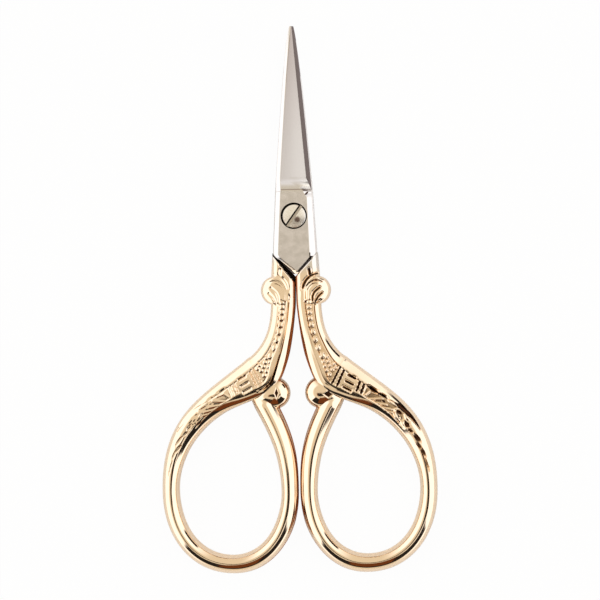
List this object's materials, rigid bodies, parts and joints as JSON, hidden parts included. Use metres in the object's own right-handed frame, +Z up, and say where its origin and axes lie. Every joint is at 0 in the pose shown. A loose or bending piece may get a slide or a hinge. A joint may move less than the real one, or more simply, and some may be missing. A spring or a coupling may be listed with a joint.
{
  "type": "embroidery scissors",
  "caption": "Small embroidery scissors with polished pointed blades crossing on a slotted pivot screw, ornate gilt handles and oval finger bows.",
  "frame": {"origin": "on the pivot axis, at the end face of the screw, level with the back of the rear half that the closed scissors lie on", "axes": "+Z up along the pivot axis out of the screw's head, +Y towards the blade tips, +X to the right seen from above"},
  "size_m": [0.045, 0.0888, 0.0044],
  "materials": {
    "blade_steel": "polished",
    "gilt": "polished",
    "screw_steel": "polished"
  },
  "bodies": {
    "rear_half": {"rear_blade": "blade_steel", "rear_handle": "gilt", "pivot_screw": "screw_steel"},
    "front_half": {"front_blade": "blade_steel", "front_handle": "gilt"}
  },
  "joints": [
    {"name": "blade_pivot", "type": "hinge", "parent": "rear_half", "child": "front_half", "pos_m": [0, 0, 0.00215], "axis": [0, 0, 1], "range_deg": [0, 120]}
  ]
}
